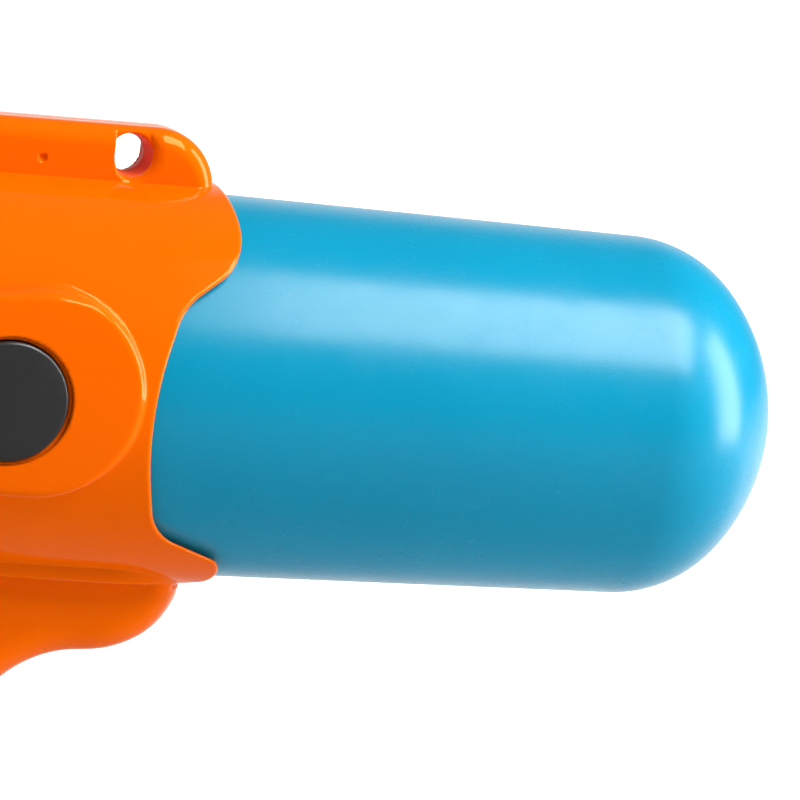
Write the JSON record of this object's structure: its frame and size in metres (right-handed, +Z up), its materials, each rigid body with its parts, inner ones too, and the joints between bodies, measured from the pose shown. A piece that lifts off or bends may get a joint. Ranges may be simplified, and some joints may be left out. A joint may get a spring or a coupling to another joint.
{
  "type": "water squirter",
  "caption": "Hand-pumped water squirter with a round screw-in tank at the back, a pistol grip with a trigger, a sliding pump handle under the barrel and a side release button.",
  "frame": {"origin": "middle of the bounding box, at the level of the grip's base", "axes": "+X along the tank towards its domed end, the muzzle towards -X, +Z up, +Y to the squirter's right as it is held"},
  "size_m": [0.538, 0.0944, 0.2159],
  "materials": {
    "shell": "glossy moulded orange",
    "tank": "satin opaque blue",
    "nozzle": "satin blue",
    "grey": "satin dark grey",
    "white": "natural moulded",
    "hose": "milky soft vinyl",
    "seal": "black rubber",
    "steel": "zinc plated"
  },
  "bodies": {
    "body": {"left_shell": "shell", "right_shell": "shell", "shell_screws": "steel", "tank_socket": "white", "dip_tube": "hose", "dip_weight": "steel", "button_spring": "steel", "right_cap": "grey", "trigger_pin": "steel", "valve_body": "white", "valve_plug": "white", "stem_seal": "seal", "valve_spring": "steel", "water_hose": "hose", "outlet_tube": "hose", "muzzle_cap": "grey", "nozzle": "nozzle", "pump_cylinder": "white", "pump_head": "white", "pump_gland": "grey", "check_spring": "steel", "air_hose": "hose"},
    "tank_seal": {"tank_seal": "seal"},
    "tank": {"tank": "tank"},
    "button": {"release_button": "grey", "vent_stem": "white", "vent_seal": "seal"},
    "trigger": {"trigger": "grey"},
    "valve": {"valve_stem": "white", "valve_seal": "seal"},
    "check_ball": {"check_ball": "white"},
    "pump": {"pump_rod": "white", "piston": "white", "piston_seal": "seal", "handle_left": "grey", "handle_right": "grey", "handle_screws": "steel"}
  },
  "joints": [
    {"name": "tank_lift", "type": "slide", "parent": "body", "child": "tank_seal", "axis": [1, 0, 0], "range_m": [0, 0.0091]},
    {"name": "tank_turn", "type": "hinge", "parent": "tank_seal", "child": "tank", "pos_m": [0.147, 0, 0.1579], "axis": [1, 0, 0], "range_deg": [0, 540]},
    {"name": "button_press", "type": "slide", "parent": "body", "child": "button", "axis": [0, 1, 0], "range_m": [0, 0.003], "stiffness_N_per_m": 800, "springref_m": -0.004, "deforming": ["button_spring"]},
    {"name": "trigger_pull", "type": "hinge", "parent": "body", "child": "trigger", "pos_m": [0.0391, 0, 0.1219], "axis": [0, -1, 0], "range_deg": [0, 9], "stiffness_Nm_per_rad": 1, "springref_deg": -2.86},
    {"name": "valve_slide", "type": "slide", "parent": "body", "child": "valve", "axis": [-1, 0, 0], "range_m": [0, 0.0085], "deforming": ["valve_spring"]},
    {"name": "check_lift", "type": "slide", "parent": "body", "child": "check_ball", "axis": [1, 0, 0], "range_m": [0, 0.002], "stiffness_N_per_m": 60, "springref_m": -0.001, "deforming": ["check_spring"]},
    {"name": "pump_slide", "type": "slide", "parent": "body", "child": "pump", "axis": [-1, 0, 0], "range_m": [0, 0.062]}
  ],
  "couplings": [
    {"joint": "tank_lift", "follows": "tank_turn", "m_per_rad": 0.00095493},
    {"joint": "valve_slide", "follows": "trigger_pull", "m_per_rad": 0.0535}
  ]
}
